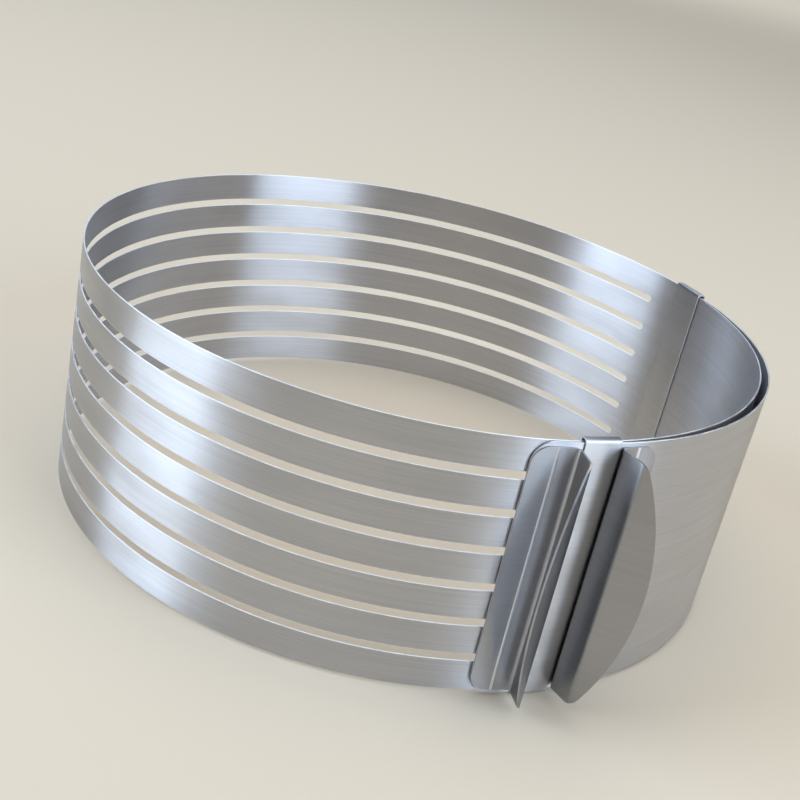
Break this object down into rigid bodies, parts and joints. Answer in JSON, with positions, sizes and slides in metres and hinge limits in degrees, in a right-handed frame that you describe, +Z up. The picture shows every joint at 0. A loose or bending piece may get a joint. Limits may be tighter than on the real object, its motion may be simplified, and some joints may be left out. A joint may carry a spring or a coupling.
{
  "type": "cake leveler",
  "caption": "Adjustable sheet steel ring with level knife slots round most of it, its ends overlapping through folded keepers, and a clasp with winged handles.",
  "frame": {"origin": "middle of the bounding box at the surface that the keepers rest on", "axes": "+Z up along the ring's axis, clasp towards -Y, slots on the left and at the back, overlap on the right"},
  "size_m": [0.2412, 0.2582, 0.0872],
  "materials": {
    "strip_steel": "satin rolled stainless strip",
    "keeper_steel": "satin stainless sheet",
    "handle_steel": "smooth satin stainless sheet"
  },
  "bodies": {
    "inner_tail_02": {"inner_tail_02": "strip_steel"},
    "inner_tail_03": {"inner_tail_03": "strip_steel"},
    "inner_tail_04": {"inner_tail_04": "strip_steel"},
    "inner_tail_05": {"inner_tail_05": "strip_steel"},
    "inner_tail_06": {"inner_tail_06": "strip_steel"},
    "slotted_strip_01": {"slotted_strip_01": "strip_steel"},
    "slotted_strip_02": {"slotted_strip_02": "strip_steel"},
    "slotted_strip_03": {"slotted_strip_03": "strip_steel"},
    "slotted_strip_04": {"slotted_strip_04": "strip_steel"},
    "slotted_strip_05": {"slotted_strip_05": "strip_steel"},
    "slotted_strip_06": {"slotted_strip_06": "strip_steel"},
    "slotted_strip_07": {"slotted_strip_07": "strip_steel"},
    "slotted_strip_08": {"slotted_strip_08": "strip_steel"},
    "slotted_strip_09": {"slotted_strip_09": "strip_steel"},
    "slotted_strip_10": {"slotted_strip_10": "strip_steel"},
    "slotted_strip_11": {"slotted_strip_11": "strip_steel"},
    "slotted_strip_12": {"slotted_strip_12": "strip_steel"},
    "slotted_strip_13": {"slotted_strip_13": "strip_steel"},
    "outer_tail_01": {"outer_tail_01": "strip_steel"},
    "outer_tail_02": {"outer_tail_02": "strip_steel"},
    "outer_tail_03": {"outer_tail_03": "strip_steel"},
    "outer_tail_04": {"outer_tail_04": "strip_steel"},
    "outer_tail_05": {"outer_tail_05": "strip_steel"},
    "inner_end": {"inner_tail_01": "strip_steel", "back_keeper": "keeper_steel"},
    "clasp": {"outer_tail_06": "strip_steel", "front_keeper": "keeper_steel", "left_handle": "handle_steel", "right_handle": "handle_steel"}
  },
  "joints": [
    {"name": "strip_bend_01", "type": "hinge", "parent": "inner_tail_02", "child": "inner_end", "pos_m": [0.11632, -0.01236, 0.0011], "axis": [0, 0, 1], "range_deg": [-3.77, 0]},
    {"name": "strip_bend_02", "type": "hinge", "parent": "inner_tail_03", "child": "inner_tail_02", "pos_m": [0.10446, -0.04586, 0.0011], "axis": [0, 0, 1], "range_deg": [-2.8, 0]},
    {"name": "strip_bend_03", "type": "hinge", "parent": "inner_tail_04", "child": "inner_tail_03", "pos_m": [0.08343, -0.07451, 0.0011], "axis": [0, 0, 1], "range_deg": [-2.79, 0]},
    {"name": "strip_bend_04", "type": "hinge", "parent": "inner_tail_05", "child": "inner_tail_04", "pos_m": [0.05509, -0.09596, 0.0011], "axis": [0, 0, 1], "range_deg": [-2.24, 0]},
    {"name": "strip_bend_05", "type": "hinge", "parent": "inner_tail_06", "child": "inner_tail_05", "pos_m": [0.02177, -0.10831, 0.0011], "axis": [0, 0, 1], "range_deg": [-2.38, 0]},
    {"name": "strip_bend_06", "type": "hinge", "parent": "slotted_strip_01", "child": "inner_tail_06", "pos_m": [-0.01371, -0.11018, 0.0011], "axis": [0, 0, 1], "range_deg": [-4.59, 0]},
    {"name": "strip_bend_07", "type": "hinge", "parent": "slotted_strip_02", "child": "slotted_strip_01", "pos_m": [-0.05281, -0.09897, 0.0011], "axis": [0, 0, 1], "range_deg": [-3.59, 0]},
    {"name": "strip_bend_08", "type": "hinge", "parent": "slotted_strip_03", "child": "slotted_strip_02", "pos_m": [-0.08592, -0.07532, 0.0011], "axis": [0, 0, 1], "range_deg": [-3.55, 0]},
    {"name": "strip_bend_09", "type": "hinge", "parent": "slotted_strip_04", "child": "slotted_strip_03", "pos_m": [-0.10921, -0.04196, 0.0011], "axis": [0, 0, 1], "range_deg": [-3.55, 0]},
    {"name": "strip_bend_10", "type": "hinge", "parent": "slotted_strip_05", "child": "slotted_strip_04", "pos_m": [-0.12002, -0.00274, 0.0011], "axis": [0, 0, 1], "range_deg": [-3.55, 0]},
    {"name": "strip_bend_11", "type": "hinge", "parent": "slotted_strip_06", "child": "slotted_strip_05", "pos_m": [-0.1171, 0.03785, 0.0011], "axis": [0, 0, 1], "range_deg": [-3.55, 0]},
    {"name": "strip_bend_12", "type": "hinge", "parent": "slotted_strip_07", "child": "slotted_strip_06", "pos_m": [-0.10079, 0.07512, 0.0011], "axis": [0, 0, 1], "range_deg": [-3.55, 0]},
    {"name": "ring_opening", "type": "hinge", "parent": "slotted_strip_07", "child": "slotted_strip_08", "pos_m": [-0.07296, 0.1048, 0.0011], "axis": [0, 0, 1], "range_deg": [0, 3.53]},
    {"name": "strip_bend_14", "type": "hinge", "parent": "slotted_strip_08", "child": "slotted_strip_09", "pos_m": [-0.03682, 0.12348, 0.0011], "axis": [0, 0, 1], "range_deg": [0, 3.55]},
    {"name": "strip_bend_15", "type": "hinge", "parent": "slotted_strip_09", "child": "slotted_strip_10", "pos_m": [0.00349, 0.129, 0.0011], "axis": [0, 0, 1], "range_deg": [0, 3.55]},
    {"name": "strip_bend_16", "type": "hinge", "parent": "slotted_strip_10", "child": "slotted_strip_11", "pos_m": [0.04333, 0.12074, 0.0011], "axis": [0, 0, 1], "range_deg": [0, 3.55]},
    {"name": "strip_bend_17", "type": "hinge", "parent": "slotted_strip_11", "child": "slotted_strip_12", "pos_m": [0.07812, 0.09965, 0.0011], "axis": [0, 0, 1], "range_deg": [0, 3.55]},
    {"name": "strip_bend_18", "type": "hinge", "parent": "slotted_strip_12", "child": "slotted_strip_13", "pos_m": [0.10386, 0.06814, 0.0011], "axis": [0, 0, 1], "range_deg": [0, 3.55]},
    {"name": "strip_bend_19", "type": "hinge", "parent": "slotted_strip_13", "child": "outer_tail_01", "pos_m": [0.11759, 0.02984, 0.0011], "axis": [0, 0, 1], "range_deg": [0, 1.45]},
    {"name": "strip_bend_20", "type": "hinge", "parent": "outer_tail_01", "child": "outer_tail_02", "pos_m": [0.11845, -0.00785, 0.0011], "axis": [0, 0, 1], "range_deg": [0, 3.1]},
    {"name": "strip_bend_21", "type": "hinge", "parent": "outer_tail_02", "child": "outer_tail_03", "pos_m": [0.108, -0.04406, 0.0011], "axis": [0, 0, 1], "range_deg": [0, 4.25]},
    {"name": "strip_bend_22", "type": "hinge", "parent": "outer_tail_03", "child": "outer_tail_04", "pos_m": [0.08679, -0.0752, 0.0011], "axis": [0, 0, 1], "range_deg": [0, 4.17]},
    {"name": "strip_bend_23", "type": "hinge", "parent": "outer_tail_04", "child": "outer_tail_05", "pos_m": [0.05679, -0.098, 0.0011], "axis": [0, 0, 1], "range_deg": [0, 3.4]},
    {"name": "strip_bend_24", "type": "hinge", "parent": "outer_tail_05", "child": "clasp", "pos_m": [0.02113, -0.11016, 0.0011], "axis": [0, 0, 1], "range_deg": [0, 3.15]}
  ],
  "couplings": [
    {"joint": "strip_bend_01", "follows": "ring_opening", "ratio": -1.0619},
    {"joint": "strip_bend_02", "follows": "ring_opening", "ratio": -0.78751},
    {"joint": "strip_bend_03", "follows": "ring_opening", "ratio": -0.78275},
    {"joint": "strip_bend_04", "follows": "ring_opening", "ratio": -0.62786},
    {"joint": "strip_bend_05", "follows": "ring_opening", "ratio": -0.66695},
    {"joint": "strip_bend_06", "follows": "ring_opening", "ratio": -1.2916},
    {"joint": "strip_bend_07", "follows": "ring_opening", "ratio": -1.0098},
    {"joint": "strip_bend_08", "follows": "ring_opening", "ratio": -1},
    {"joint": "strip_bend_09", "follows": "ring_opening", "ratio": -1},
    {"joint": "strip_bend_10", "follows": "ring_opening", "ratio": -1},
    {"joint": "strip_bend_11", "follows": "ring_opening", "ratio": -1},
    {"joint": "strip_bend_12", "follows": "ring_opening", "ratio": -1},
    {"joint": "strip_bend_14", "follows": "ring_opening", "ratio": 1},
    {"joint": "strip_bend_15", "follows": "ring_opening", "ratio": 1},
    {"joint": "strip_bend_16", "follows": "ring_opening", "ratio": 1},
    {"joint": "strip_bend_17", "follows": "ring_opening", "ratio": 1},
    {"joint": "strip_bend_18", "follows": "ring_opening", "ratio": 1},
    {"joint": "strip_bend_19", "follows": "ring_opening", "ratio": 0.40497},
    {"joint": "strip_bend_20", "follows": "ring_opening", "ratio": 0.87128},
    {"joint": "strip_bend_21", "follows": "ring_opening", "ratio": 1.1967},
    {"joint": "strip_bend_22", "follows": "ring_opening", "ratio": 1.1739},
    {"joint": "strip_bend_23", "follows": "ring_opening", "ratio": 0.95695},
    {"joint": "strip_bend_24", "follows": "ring_opening", "ratio": 0.8853}
  ]
}
